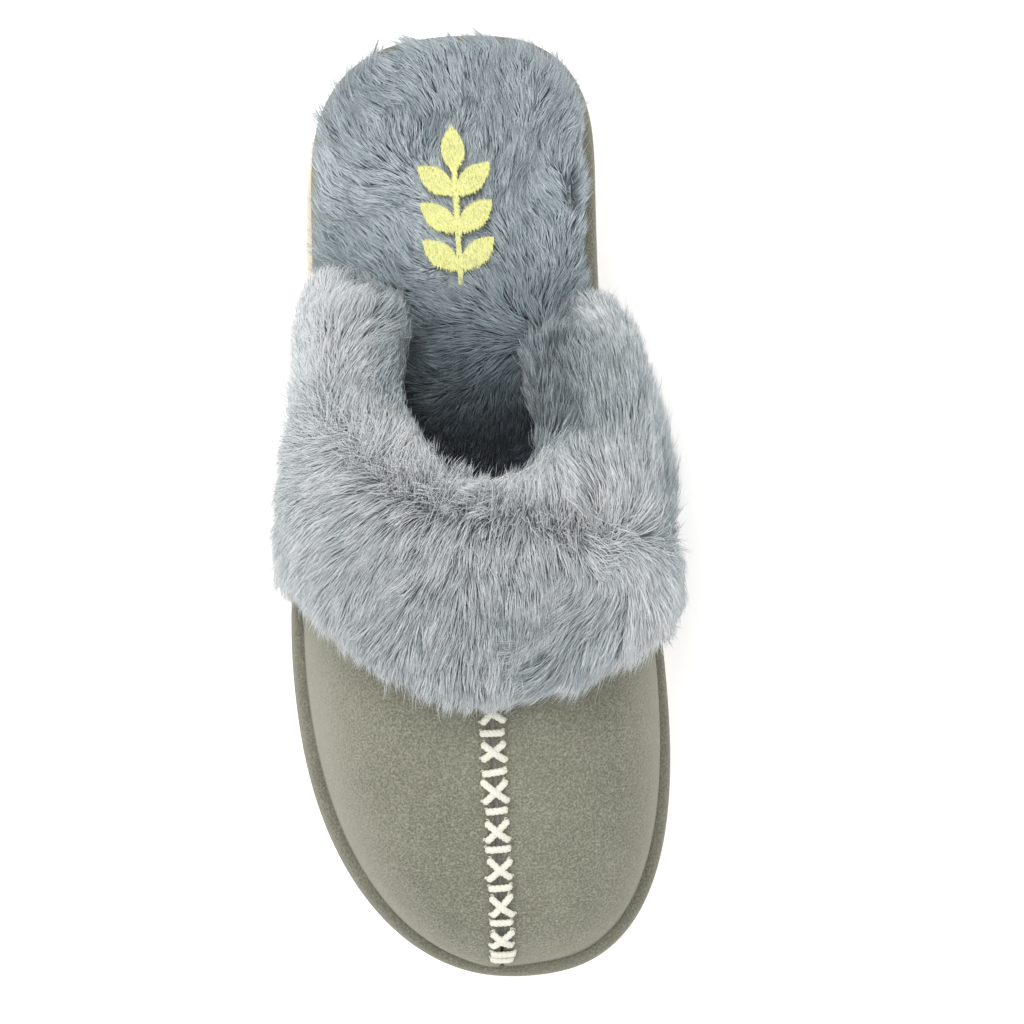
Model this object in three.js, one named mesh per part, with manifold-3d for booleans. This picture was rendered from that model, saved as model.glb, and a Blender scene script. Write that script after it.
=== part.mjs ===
// A fluffy house slipper for the right foot: an open-backed mule with a faux-suede upper, a turned-down
// faux-fur cuff, fur lining and fur footbed, on a suede-wrapped foam sole with a moulded rubber outsole.
//
// Millimetres. +Z is up, +Y points to the heel and +X to the big-toe side. The origin is on the ground,
// under the middle of the sole. "u" below is the distance from the tip of the toe, measured along +Y.
import * as THREE from "three";
import { mergeVertices } from "three/addons/utils/BufferGeometryUtils.js";
import Module from "manifold-3d";

const wasm = await Module();
wasm.setup();

// ---- Driving dimensions -----------------------------------------------------------------------------

const GAP = 0.5; // free space between two pieces that touch

// Plan of the sole
const SOLE_LENGTH = 262;
const BALL_WIDTH = 102.5;
const HEEL_WIDTH = 78.5;
const BALL_AT = 88; // where the forefoot starts to narrow
const WAIST_AT = 190; // where it has come down to the heel's width
const TOE_ROUND = 84; // length over which the toe end closes
const TOE_POWER = 2.35;
const HEEL_ROUND = 40;
const HEEL_POWER = 2.7;
const TOE_CURL = 8.5; // how far the toe tip leans to the big-toe side
const HEEL_CURL = 4.5;
const CURL_POWER = 2.5;

// Heights of the sole
const OUTSOLE_THICK = 4.5;
const MIDSOLE_FRONT = 10;
const MIDSOLE_HEEL = 15;
const BOARD_THICK = 1.5;
const CUSHION_THICK = 4;
const WRAP_THICK = 1.2;
const WEDGE_FROM = 95; // the foam rises from here
const WEDGE_TO = 180;
const TOE_SPRING = 6; // lift of the toe tip off the ground
const SPRING_LENGTH = 72;
const HEEL_BEVEL = 2;
const BEVEL_LENGTH = 22;

// Outsole
const OUTSOLE_CHAMFER = 2;
const OUTSOLE_LIP = 0.8; // the moulded edge stands this far out of the wrap
const HEEL_FLARE = 1.6; // extra width of the outsole on the little-toe side of the heel
const FLARE_AT = 205;
const FLARE_LENGTH = 60;
const GROOVE_DEPTH = 1.6;
const GROOVE_WIDTH = 2.6;
const GROOVE_PITCH = 9;
const GROOVE_MARGIN = 9; // plain rim left round the tread
const GROOVE_CHEVRON = 6;
const TREAD_ZONES = [
  [34, 112],
  [194, 240],
];

// Wrap round the foam
const WRAP_BULGE = 0.9;
const WRAP_SHOULDER = 2.4; // radius of the rolled upper edge
const WRAP_FLANGE = 7; // how far the wrap turns in over the cushion

// Footbed cover
const SOCK_BACKING = 1;
const SOCK_PILE = 8;

// Upper, as layers counted inwards from the outside of the suede
const UPPER_INSET = 2.6;
const INSTEP_HEIGHT = 53; // top of the suede above the feather line
const INSTEP_RUN = 136; // length over which it climbs to that
const INSTEP_POWER = 1.8;
const ARCH_POWER = 2.3; // squareness of the cross-section
const RIDGE_X = 1; // the ridge of the upper runs straight, this far to the big-toe side
const BACK_DROP = 17; // how much lower the sides are at their back ends
const DROP_FROM = 118;
const SUEDE_THICK = 1.4;
const INTERLINING_THICK = 2;
const LINING_THICK = 5;
const LAYER_GAP = 1; // between the layers of the upper, which are curved both ways
const SEAM_GAP = 0.4; // between the two suede panels

// Opening: a U cut into the top of the upper, with the two sides ending behind it
const THROAT_AT = 124; // front of the opening, along the ridge
const OPENING_SHARE = 0.82; // half-width of the opening, as a share of the upper's half-width
const MEDIAL_CORNER_POWER = 2.9; // squareness of the front corners of the U
const LATERAL_CORNER_POWER = 2;
const MEDIAL_END_AT = 168; // back end of each side, at its top
const LATERAL_END_AT = 181;
const END_SLANT = 9; // how much further back each side ends at the sole
const END_SHARE = 0.2; // share of the top line that each back end takes

// Cuff
const CUFF_FRONT_AT = 80; // lower edge of the flap on the ridge
const CUFF_MEDIAL_AT = 93;
const CUFF_LATERAL_AT = 113;
const CUFF_EDGE_POWER = 4;
const CUFF_MEDIAL_THICK = 4.2;
const CUFF_LATERAL_THICK = 2.5;
const CUFF_CROWN_THICK = 11;
const CUFF_INNER_THICK = 4.5;
const CUFF_FOLD_REACH = 6.5;
const CUFF_RETURN = 14; // depth of the part turned inside
const TAPE_WIDTH = 8;
const TAPE_THICK = 0.5;

// Decorative stitching on the ridge
const STITCH_WIDTH = 7;
const STITCH_YARN = 1.7;
const STITCH_THICK = 0.9;
const STITCH_PITCH = 11.1; // from one cross to the next
const CROSS_COUNT = 7;
const CROSS_LENGTH = 6.6;
const FIRST_CROSS_AT = 73; // distance of the first cross from the toe
const END_BAR_SPACING = 2.4;

// Printed sprig on the footbed
const PRINT_THICK = 0.5;
const PRINT_LENGTH = 44;
const PRINT_AT = 213;
const LEAF_LENGTH = 13;
const LEAF_WIDTH = 6.4;
const LEAF_PAIRS = 3;
const LEAF_ANGLE = 0.7;
const STEM_WIDTH = 1.3;

// Fineness of the surfaces
const SOLE_STATIONS = 30;
const UPPER_STATIONS = 18;
const ARCH_STEPS = 24; // an even number, so that the ridge is one of the steps
const CUFF_STATIONS = 40;

// ---- Curves that the whole slipper shares -----------------------------------------------------------

const mix = (a, b, t) => a + (b - a) * t;
const clamp01 = (t) => Math.min(1, Math.max(0, t));
const smooth = (t) => clamp01(t) ** 2 * (3 - 2 * clamp01(t));
// 0 at t = 0 and 1 from t = 1, steep at first: the quarter of a superellipse.
const rounded = (t, power) => (1 - (1 - clamp01(t)) ** power) ** (1 / power);
// Shares from 0 to 1, close together near both ends.
const shares = (n) => Array.from({ length: n + 1 }, (_, i) => (1 - Math.cos((Math.PI * i) / n)) / 2);

const centreX = (u) => {
  const off = (2 * u) / SOLE_LENGTH - 1;
  return (off < 0 ? TOE_CURL : HEEL_CURL) * Math.abs(off) ** CURL_POWER;
};
const fullHalfWidth = (u) => mix(BALL_WIDTH, HEEL_WIDTH, smooth((u - BALL_AT) / (WAIST_AT - BALL_AT))) / 2;
const toeY = -SOLE_LENGTH / 2;

function soleHalfWidth(u, inset) {
  const toe = rounded((u - inset) / TOE_ROUND, TOE_POWER);
  const heel = rounded((SOLE_LENGTH - inset - u) / HEEL_ROUND, HEEL_POWER);
  return (fullHalfWidth(u) - inset) * toe * heel;
}

// Lift of the underside: up at the toe, and bevelled a little at the heel.
const spring = (u) =>
  TOE_SPRING * clamp01(1 - u / SPRING_LENGTH) ** 2 +
  HEEL_BEVEL * clamp01((u - SOLE_LENGTH + BEVEL_LENGTH) / BEVEL_LENGTH) ** 2;

const wedge = (u) => smooth((u - WEDGE_FROM) / (WEDGE_TO - WEDGE_FROM));
const midsoleThick = (u) => mix(MIDSOLE_FRONT, MIDSOLE_HEEL, wedge(u));
const outsoleTop = (u) => spring(u) + OUTSOLE_THICK;
const midsoleTop = (u) => outsoleTop(u) + GAP + midsoleThick(u);
const boardTop = (u) => midsoleTop(u) + GAP + BOARD_THICK;
const cushionTop = (u) => boardTop(u) + GAP + CUSHION_THICK;
const featherZ = (u) => cushionTop(u) + GAP + WRAP_THICK; // where the upper is sewn on
const sockTop = (u) => featherZ(u) + GAP + SOCK_BACKING + SOCK_PILE;

// ---- Solids from rings of points --------------------------------------------------------------------

// Joins vertices at one place, drops the faces that collapse, and turns the faces outwards.
function closedGeometry(points, triangles) {
  const raw = new THREE.BufferGeometry();
  raw.setAttribute("position", new THREE.Float32BufferAttribute(points.flatMap((p) => p.toArray()), 3));
  raw.setIndex(triangles.flat());
  const merged = mergeVertices(raw, 1e-3);
  const place = new THREE.Vector3();
  const index = [];
  let volume = 0;
  for (let i = 0; i < merged.index.count; i += 3) {
    const [a, b, c] = [0, 1, 2].map((k) => merged.index.getX(i + k));
    if (a === b || b === c || c === a) continue;
    index.push(a, b, c);
    const [p, q, r] = [a, b, c].map((k) => place.clone().fromBufferAttribute(merged.attributes.position, k));
    volume += p.dot(q.cross(r));
  }
  if (volume < 0) index.reverse();
  merged.setIndex(index);
  return merged;
}

// Skins rings that all have the same even number of points. Point k of a ring faces point N-1-k, so the
// end rings close as ladders. With closed set, the last ring joins the first and there are no ends.
function loft(rings, closed = false) {
  const n = rings[0].length;
  const triangles = [];
  const quad = (a, b, c, d) => triangles.push([a, b, c], [a, c, d]);
  const spans = closed ? rings.length : rings.length - 1;
  for (let i = 0; i < spans; i++) {
    const [here, next] = [i * n, ((i + 1) % rings.length) * n];
    for (let k = 0; k < n; k++) quad(here + k, here + ((k + 1) % n), next + ((k + 1) % n), next + k);
  }
  if (!closed) {
    const last = (rings.length - 1) * n;
    for (let k = 0; k + 1 < n / 2; k++) {
      quad(n - 1 - k, n - 2 - k, k + 1, k);
      quad(last + k, last + k + 1, last + n - 2 - k, last + n - 1 - k);
    }
  }
  return closedGeometry(rings.flat(), triangles);
}

const toSolid = (geometry) =>
  new wasm.Manifold(
    new wasm.Mesh({
      numProp: 3,
      vertProperties: new Float32Array(geometry.attributes.position.array),
      triVerts: new Uint32Array(geometry.index.array),
    }),
  );

function bareCopy(geometry) {
  const bare = new THREE.BufferGeometry();
  bare.setAttribute("position", geometry.getAttribute("position"));
  if (geometry.index) bare.setIndex(geometry.index);
  return mergeVertices(bare, 1e-3);
}

function fromSolid(solid) {
  const mesh = solid.getMesh();
  const geometry = new THREE.BufferGeometry();
  geometry.setAttribute("position", new THREE.Float32BufferAttribute(mesh.vertProperties, 3));
  geometry.setIndex([...mesh.triVerts]);
  return geometry;
}

// ---- Sole -------------------------------------------------------------------------------------------

// The outline of the sole drawn in by inset, at a height that follows its length. The extra width
// goes on the little-toe side of the heel.
function soleRing({ inset, z, flare = 0 }) {
  const stations = shares(SOLE_STATIONS).map((t) => mix(inset, SOLE_LENGTH - inset, t));
  const side = (sign) =>
    stations.map((u) => {
      const bump = sign < 0 ? flare * smooth(1 - Math.abs(u - FLARE_AT) / FLARE_LENGTH) : 0;
      return new THREE.Vector3(centreX(u) + sign * (soleHalfWidth(u, inset) + bump), u + toeY, z(u));
    });
  return [...side(1), ...side(-1).reverse()];
}

const soleLayer = (...levels) => loft(levels.map(soleRing));

function chevronGroove(u) {
  const reach = fullHalfWidth(u) - GROOVE_MARGIN;
  const half = GROOVE_WIDTH / 2;
  const groove = new THREE.Shape();
  groove.moveTo(-reach, -half + GROOVE_CHEVRON);
  groove.lineTo(0, -half);
  groove.lineTo(reach, -half + GROOVE_CHEVRON);
  groove.lineTo(reach, half + GROOVE_CHEVRON);
  groove.lineTo(0, half);
  groove.lineTo(-reach, half + GROOVE_CHEVRON);
  const deep = new THREE.ExtrudeGeometry(groove, { depth: TOE_SPRING + GROOVE_DEPTH, bevelEnabled: false });
  deep.translate(centreX(u), u + toeY, spring(u) - TOE_SPRING);
  return toSolid(bareCopy(deep));
}

// The tread's area: the outline drawn in by the plain rim.
const treadArea = () =>
  toSolid(
    soleLayer(
      { inset: GROOVE_MARGIN, z: () => -TOE_SPRING },
      { inset: GROOVE_MARGIN, z: () => 2 * OUTSOLE_THICK },
    ),
  );

function outsoleGeometry() {
  const walls = soleLayer(
    { inset: OUTSOLE_CHAMFER - OUTSOLE_LIP, z: spring },
    { inset: -OUTSOLE_LIP, z: (u) => spring(u) + OUTSOLE_CHAMFER, flare: HEEL_FLARE },
    { inset: -OUTSOLE_LIP, z: (u) => outsoleTop(u) - OUTSOLE_LIP, flare: HEEL_FLARE },
    { inset: 0, z: outsoleTop, flare: HEEL_FLARE },
  );
  const area = treadArea();
  let body = toSolid(walls);
  for (const [from, to] of TREAD_ZONES)
    for (let u = from; u <= to; u += GROOVE_PITCH) body = body.subtract(chevronGroove(u).intersect(area));
  return fromSolid(body);
}

const midsoleGeometry = () =>
  soleLayer(
    { inset: WRAP_THICK + GAP, z: (u) => outsoleTop(u) + GAP },
    { inset: WRAP_THICK + GAP, z: midsoleTop },
  );

const boardGeometry = () =>
  soleLayer(
    { inset: WRAP_THICK + GAP, z: (u) => midsoleTop(u) + GAP },
    { inset: WRAP_THICK + GAP, z: boardTop },
  );

const cushionGeometry = () =>
  soleLayer(
    { inset: WRAP_THICK + GAP, z: (u) => boardTop(u) + GAP },
    { inset: WRAP_THICK + GAP, z: (u) => cushionTop(u) - WRAP_SHOULDER },
    { inset: WRAP_THICK + GAP + WRAP_SHOULDER, z: cushionTop },
  );

// One strip of suede round the foam, rolled in at the top as far as the stitching line.
function wrapGeometry() {
  const foot = (u) => outsoleTop(u) + GAP;
  const middle = (u) => mix(foot(u), featherZ(u), 0.5);
  const under = (u) => featherZ(u) - WRAP_THICK;
  const levels = [
    { inset: 0.3, z: foot },
    { inset: -WRAP_BULGE * 0.7, z: (u) => mix(foot(u), middle(u), 0.5) },
    { inset: -WRAP_BULGE, z: middle },
    { inset: -WRAP_BULGE * 0.6, z: (u) => featherZ(u) - WRAP_SHOULDER },
    { inset: 0.4 * WRAP_SHOULDER, z: (u) => featherZ(u) - 0.3 * WRAP_SHOULDER },
    { inset: WRAP_SHOULDER + WRAP_THICK, z: featherZ },
    { inset: WRAP_FLANGE, z: featherZ },
    { inset: WRAP_FLANGE, z: under },
    { inset: WRAP_SHOULDER + WRAP_THICK, z: under },
    { inset: WRAP_THICK, z: (u) => under(u) - WRAP_SHOULDER },
    { inset: WRAP_THICK, z: foot },
  ];
  return loft(levels.map(soleRing), true);
}

// ---- Upper ------------------------------------------------------------------------------------------

// The upper is a dome over the sole. A place on it has u, the distance from the toe; an angle, from the
// big-toe side (0) over the ridge to the little-toe side (pi); and a depth inwards from the outside of
// the suede. Outside the suede, the depth is negative.
const rise = (angle) => Math.max(0, Math.sin(angle)) ** (2 / ARCH_POWER);
const spread = (angle) => Math.sign(Math.cos(angle)) * Math.abs(Math.cos(angle)) ** (2 / ARCH_POWER);
const drop = (u) => BACK_DROP * smooth((u - DROP_FROM) / (LATERAL_END_AT - DROP_FROM));
const climbed = (u, depth) => (u - UPPER_INSET - depth) / INSTEP_RUN;

const upperHeight = (u, depth) =>
  (INSTEP_HEIGHT - drop(u) - depth) * rounded(climbed(u, depth), INSTEP_POWER);
const upperHalfWidth = (u, depth) =>
  (fullHalfWidth(u) - UPPER_INSET - depth) * rounded((u - UPPER_INSET - depth) / TOE_ROUND, TOE_POWER);

// How far the upper is pushed sideways, for a height given as a share of the ridge's.
const sideways = (u, height) => (RIDGE_X - centreX(u)) * height ** 2;

function upperPoint(u, angle, depth) {
  const x = centreX(u) + upperHalfWidth(u, depth) * spread(angle) + sideways(u, rise(angle));
  return new THREE.Vector3(x, u + toeY, featherZ(u) + upperHeight(u, depth) * rise(angle));
}

// The angle at which the upper reaches a lift above the feather line.
const angleAt = (u, depth, lift) => Math.asin(clamp01((lift / upperHeight(u, depth)) ** (ARCH_POWER / 2)));

// The distance from the toe at which the ridge is a lift above the feather line.
function ridgeStart(depth, lift) {
  const share = lift / (INSTEP_HEIGHT - depth);
  return UPPER_INSET + depth + INSTEP_RUN * (1 - (1 - share ** INSTEP_POWER) ** (1 / INSTEP_POWER));
}

// The angle of the opening's edges on the two sides. Back lowers them by that distance along the upper.
const sideRadius = (HEEL_WIDTH / 2 + INSTEP_HEIGHT - BACK_DROP) / 2;
const openingAngle = (back) => Math.acos(OPENING_SHARE ** (ARCH_POWER / 2)) - back / sideRadius;

// The top line, for a share s from 0 at the big-toe side of the sole to 1 at the little-toe side: up the
// back end of one side, round the U of the opening, and down the other back end. Back moves it away from
// the opening, all along.
function topline(s, back) {
  const half = Math.min(s, 1 - s);
  const edge = openingAngle(back);
  const endAt = (s < 0.5 ? MEDIAL_END_AT : LATERAL_END_AT) - back;
  const power = s < 0.5 ? MEDIAL_CORNER_POWER : LATERAL_CORNER_POWER;
  const low = half < END_SHARE;
  const turn = ((half - END_SHARE) / (0.5 - END_SHARE)) * (Math.PI / 2);
  const q = spread(edge) * Math.cos(turn) ** (2 / power);
  const forward = low ? 0 : Math.sin(turn) ** (2 / power);
  const angle = low ? (edge * half) / END_SHARE : Math.acos(q ** (ARCH_POWER / 2));
  const u = mix(endAt, THROAT_AT - back, forward) + (low ? END_SLANT * (1 - half / END_SHARE) ** 2 : 0);
  return { angle: s < 0.5 ? angle : Math.PI - angle, u };
}

// A place on the upper for a share s across it and a share t of the way from startU to the top line.
function upperPlace({ s, t, startU, depth, lift, back = 0 }) {
  const top = topline(s, back);
  const u = mix(startU, top.u, t);
  const low = angleAt(Math.max(u, UPPER_INSET + depth + 0.01), depth, lift);
  const across = mix(s, top.angle / Math.PI, t * t);
  return upperPoint(u, mix(low, Math.PI - low, across), depth);
}

// A shell between two depths, from one share across the upper to another.
function upperShell({ outer, inner, from = 0, to = 1, back = 0 }) {
  const steps = Math.round(ARCH_STEPS * (to - from));
  const arch = (t, depth) =>
    Array.from({ length: steps + 1 }, (_, k) => {
      const s = mix(from, to, k / steps);
      return upperPlace({ s, t, startU: UPPER_INSET + depth, depth, lift: GAP, back });
    });
  return loft(shares(UPPER_STATIONS).map((t) => [...arch(t, outer), ...arch(t, inner).reverse()]));
}

const INTERLINING_DEPTH = SUEDE_THICK + LAYER_GAP;
// The depth at which the lining and the inside of the cuff start.
const STACK_DEPTH = INTERLINING_DEPTH + INTERLINING_THICK + LAYER_GAP;
const LIFT_TO_SOCK = GAP + SOCK_BACKING + SOCK_PILE + GAP;

const suedePanel = (from, to, shift) =>
  upperShell({ outer: 0, inner: SUEDE_THICK, from, to }).translate(shift, 0, 0);

// Takes away what would lie lower than the top of the footbed cover.
function aboveSock(geometry) {
  const room = soleLayer(
    { inset: 0, z: (u) => featherZ(u) - GAP },
    { inset: 0, z: (u) => featherZ(u) + LIFT_TO_SOCK },
  );
  return fromSolid(toSolid(geometry).subtract(toSolid(room)));
}

function interliningGeometry() {
  const shell = { outer: INTERLINING_DEPTH, inner: INTERLINING_DEPTH + INTERLINING_THICK };
  return aboveSock(upperShell(shell));
}

function liningGeometry() {
  const shell = { outer: STACK_DEPTH, inner: STACK_DEPTH + LINING_THICK, back: CUFF_RETURN + 2 * GAP };
  return aboveSock(upperShell(shell));
}

// The footbed cover fills the sole up to the walls of the upper, and follows them in as they lean over it.
function sockRing(lift) {
  const depth = SUEDE_THICK + LAYER_GAP;
  const inset = UPPER_INSET + depth;
  const start = ridgeStart(depth, lift + GAP);
  const share = (u) => Math.min(1, (lift + GAP) / upperHeight(u, depth));
  const room = (u) => upperHalfWidth(u, depth) * (1 - share(u) ** ARCH_POWER) ** (1 / ARCH_POWER);
  const backEnd = LATERAL_END_AT + END_SLANT;
  const behind = (u) => smooth((u - backEnd) / CUFF_RETURN);
  const half = (u) => mix(room(u), soleHalfWidth(u, inset), behind(u));
  const middle = (u) => centreX(u) + sideways(u, share(u)) * (1 - behind(u));
  const stations = shares(SOLE_STATIONS).map((t) => mix(start, SOLE_LENGTH - inset, t));
  const side = (sign) =>
    stations.map((u) => new THREE.Vector3(middle(u) + sign * half(u), u + toeY, featherZ(u) + lift));
  return [...side(1), ...side(-1).reverse()];
}

const sockGeometry = () =>
  loft([GAP, GAP + SOCK_BACKING + 0.6 * SOCK_PILE, GAP + SOCK_BACKING + SOCK_PILE].map(sockRing));

// ---- Cuff -------------------------------------------------------------------------------------------

const cuffEdgeU = (angle) =>
  mix(
    mix(CUFF_MEDIAL_AT, CUFF_LATERAL_AT, (1 - Math.cos(angle)) / 2),
    CUFF_FRONT_AT,
    rise(angle) ** CUFF_EDGE_POWER,
  );

// The direction in which the top line's edge faces, along the upper and into the opening.
function foldDirection(s, depth, lift) {
  const step = 0.004;
  const [a, b] = [Math.max(0, s - step), Math.min(1, s + step)];
  const at = (share, d) => upperPlace({ s: share, t: 1, startU: 0, depth: d, lift });
  const along = at(b, depth).sub(at(a, depth));
  const outward = at(s, depth - 1).sub(at(s, depth));
  return along.cross(outward).normalize();
}

// A point of the cuff for a share s across it: along is the share of the way from the flap's lower edge
// (0) to the top line (1), past is a distance beyond the top line, and out is the height above the suede.
function cuffPoint(s, { along = 1, past = 0, out }) {
  const lift = out < 0 || past > 0 ? LIFT_TO_SOCK : GAP;
  const place = { s, t: along, startU: cuffEdgeU(Math.PI * s), depth: -out, lift, back: Math.max(0, -past) };
  return upperPlace(place).addScaledVector(foldDirection(s, -out, lift), Math.max(0, past));
}

function cuffSection(s) {
  const under = TAPE_THICK + 2 * LAYER_GAP;
  const side = mix(CUFF_MEDIAL_THICK, CUFF_LATERAL_THICK, s);
  const thick = under + mix(side, CUFF_CROWN_THICK, rise(Math.PI * s));
  const inside = -STACK_DEPTH;
  const face = inside - CUFF_INNER_THICK;
  const outward = [
    { along: 0, out: under + 0.3 },
    { along: 0.015, out: 0.55 * thick },
    { along: 0.06, out: 0.85 * thick },
    { along: 0.15, out: thick },
    { along: 0.36, out: thick },
    { along: 0.58, out: thick },
    { along: 0.8, out: thick },
    { past: 0, out: 0.95 * thick },
    { past: 0.6 * CUFF_FOLD_REACH, out: 0.6 * thick },
    { past: CUFF_FOLD_REACH, out: 0 },
    { past: 0.8 * CUFF_FOLD_REACH, out: 0.7 * face },
    { past: 0.1, out: face },
    { past: -0.6 * CUFF_RETURN, out: face },
    { past: -CUFF_RETURN, out: 0.9 * face },
  ];
  const inward = [
    { along: 0, out: under },
    { along: 0.015, out: under },
    { along: 0.06, out: under },
    { along: 0.15, out: under },
    { along: 0.36, out: under },
    { along: 0.58, out: under },
    { along: 0.8, out: under },
    { past: 0, out: under },
    { past: 2 * GAP, out: under },
    { past: 2 * GAP, out: 0.3 * inside },
    { past: 2 * GAP, out: 0.9 * inside },
    { past: 0.1, out: inside },
    { past: -0.6 * CUFF_RETURN, out: inside },
    { past: -CUFF_RETURN, out: inside },
  ];
  return [...outward, ...inward.reverse()].map((at) => cuffPoint(s, at));
}

const cuffShares = Array.from({ length: CUFF_STATIONS + 1 }, (_, i) => i / CUFF_STATIONS);
const cuffGeometry = () => loft(cuffShares.map(cuffSection));

// A woven tape that keeps the top line from stretching, under the flap.
function tapeGeometry() {
  const section = [
    { past: -TAPE_WIDTH, out: LAYER_GAP + TAPE_THICK },
    { past: -GAP, out: LAYER_GAP + TAPE_THICK },
    { past: -GAP, out: LAYER_GAP },
    { past: -TAPE_WIDTH, out: LAYER_GAP },
  ];
  return loft(cuffShares.map((s) => section.map((at) => cuffPoint(s, at))));
}

// ---- Stitches ---------------------------------------------------------------------------------------

// Distance walked up the ridge from the toe, as a table of places, so that stitches keep their pitch
// along the surface.
function ridgeWalk() {
  const places = [{ u: UPPER_INSET, walked: 0 }];
  let last = upperPoint(UPPER_INSET, Math.PI / 2, 0);
  for (let u = UPPER_INSET + 0.02; u < THROAT_AT; u += u < UPPER_INSET + 2 ? 0.02 : 0.25) {
    const next = upperPoint(u, Math.PI / 2, 0);
    places.push({ u, walked: places.at(-1).walked + next.distanceTo(last) });
    last = next;
  }
  return places;
}
const RIDGE = ridgeWalk();
const walkedTo = (u) => RIDGE.find((place) => place.u >= u).walked;
const uWalked = (distance) => RIDGE.find((place) => place.walked >= distance).u;

// Moves a flat stitch, drawn in x across and y up the ridge, onto the ridge at a walked distance.
function onRidge(geometry, walked) {
  const u = uWalked(walked);
  const step = 0.3;
  const along = upperPoint(u + step, Math.PI / 2, 0).sub(upperPoint(u, Math.PI / 2, 0)).normalize();
  const across = new THREE.Vector3(1, 0, 0).addScaledVector(along, -along.x).normalize();
  const out = across.clone().cross(along);
  const base = upperPoint(u, Math.PI / 2, 0).addScaledVector(out, GAP);
  geometry.applyMatrix4(new THREE.Matrix4().makeBasis(across, along, out).setPosition(base));
  return geometry;
}

function barGeometry() {
  const bar = bareCopy(new THREE.BoxGeometry(STITCH_WIDTH, STITCH_YARN, STITCH_THICK));
  return bar.translate(0, 0, STITCH_THICK / 2);
}

// Two lengths of yarn laid across each other, as one solid.
function crossGeometry() {
  const long = Math.hypot(STITCH_WIDTH, CROSS_LENGTH) - STITCH_YARN;
  const lean = Math.atan2(CROSS_LENGTH, STITCH_WIDTH);
  const leg = (turn, lift) =>
    toSolid(
      bareCopy(new THREE.BoxGeometry(long, STITCH_YARN, STITCH_THICK))
        .rotateZ(turn)
        .translate(0, 0, STITCH_THICK / 2 + lift),
    );
  return fromSolid(leg(lean, 0).add(leg(-lean, 0.2 * STITCH_THICK)));
}

function stitches() {
  const first = walkedTo(FIRST_CROSS_AT);
  const made = [];
  for (let i = 0; i < CROSS_COUNT; i++) {
    const walked = first - i * STITCH_PITCH;
    const between = walked - STITCH_PITCH / 2;
    made.push([`cross_stitch_${i + 1}`, onRidge(crossGeometry(), walked)]);
    if (i < CROSS_COUNT - 1) made.push([`bar_stitch_${i + 1}`, onRidge(barGeometry(), between)]);
  }
  const foot = first - (CROSS_COUNT - 0.5) * STITCH_PITCH;
  made.push([`bar_stitch_${CROSS_COUNT}`, onRidge(barGeometry(), foot)]);
  made.push([`bar_stitch_${CROSS_COUNT + 1}`, onRidge(barGeometry(), foot - END_BAR_SPACING)]);
  return made;
}

// ---- Print ------------------------------------------------------------------------------------------

function leafShape() {
  const leaf = new THREE.Shape();
  leaf.moveTo(0, 0);
  leaf.quadraticCurveTo(LEAF_LENGTH / 2, LEAF_WIDTH, LEAF_LENGTH, 0);
  leaf.quadraticCurveTo(LEAF_LENGTH / 2, -LEAF_WIDTH, 0, 0);
  return leaf;
}

// A stem along the slipper with pairs of leaves and one at the tip.
function printGeometry() {
  const flat = { depth: PRINT_THICK, bevelEnabled: false, curveSegments: 8 };
  const leaf = (turn, along) =>
    toSolid(bareCopy(new THREE.ExtrudeGeometry(leafShape(), flat)).rotateZ(turn).translate(0, along, 0));
  const stemLength = PRINT_LENGTH - LEAF_LENGTH / 2;
  const stem = bareCopy(new THREE.BoxGeometry(STEM_WIDTH, stemLength, PRINT_THICK));
  let sprig = toSolid(stem.translate(0, stemLength / 2, PRINT_THICK / 2));
  sprig = sprig.add(leaf(Math.PI / 2, PRINT_LENGTH - LEAF_LENGTH));
  for (let i = 0; i < LEAF_PAIRS; i++) {
    const along = (PRINT_LENGTH - LEAF_LENGTH) * ((i + 0.6) / LEAF_PAIRS) - 2;
    sprig = sprig.add(leaf(LEAF_ANGLE, along)).add(leaf(Math.PI - LEAF_ANGLE, along));
  }
  const at = PRINT_AT - PRINT_LENGTH / 2;
  return fromSolid(sprig).translate(centreX(PRINT_AT), at + toeY, sockTop(PRINT_AT) + GAP);
}

// ---- Materials and assembly -------------------------------------------------------------------------

const paint = (color, roughness) => new THREE.MeshStandardMaterial({ color, roughness, metalness: 0 });
const suede = paint(0x8f8b7d, 0.95);
const fur = paint(0x98a1a8, 1);
const foam = paint(0xe6e2d8, 0.9);
const board = paint(0xb9a98c, 0.85);
const rubber = paint(0xf0e3c8, 0.6);
const yarn = paint(0xf7f2e4, 0.8);
const tape = paint(0xd9d6cf, 0.8);
const film = paint(0xf0ee8a, 0.55);

const slipper = new THREE.Group();
const sole = new THREE.Group();
const upper = new THREE.Group();
const trim = new THREE.Group();
slipper.add(sole, upper, trim);

function place(group, name, geometry, material) {
  const mesh = new THREE.Mesh(geometry, material);
  mesh.name = name;
  group.add(mesh);
}

place(sole, "outsole", outsoleGeometry(), rubber);
place(sole, "midsole_foam", midsoleGeometry(), foam);
place(sole, "insole_board", boardGeometry(), board);
place(sole, "cushion_pad", cushionGeometry(), foam);
place(sole, "sole_wrap", wrapGeometry(), suede);
place(sole, "footbed_cover", sockGeometry(), fur);
place(upper, "vamp_medial", suedePanel(0, 0.5, SEAM_GAP / 2), suede);
place(upper, "vamp_lateral", suedePanel(0.5, 1, -SEAM_GAP / 2), suede);
place(upper, "vamp_interlining", interliningGeometry(), foam);
place(upper, "vamp_lining", liningGeometry(), fur);
place(upper, "topline_tape", tapeGeometry(), tape);
place(upper, "fur_cuff", cuffGeometry(), fur);
for (const [name, geometry] of stitches()) place(trim, name, geometry, yarn);
place(trim, "footbed_print", printGeometry(), film);

export default slipper;
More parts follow.
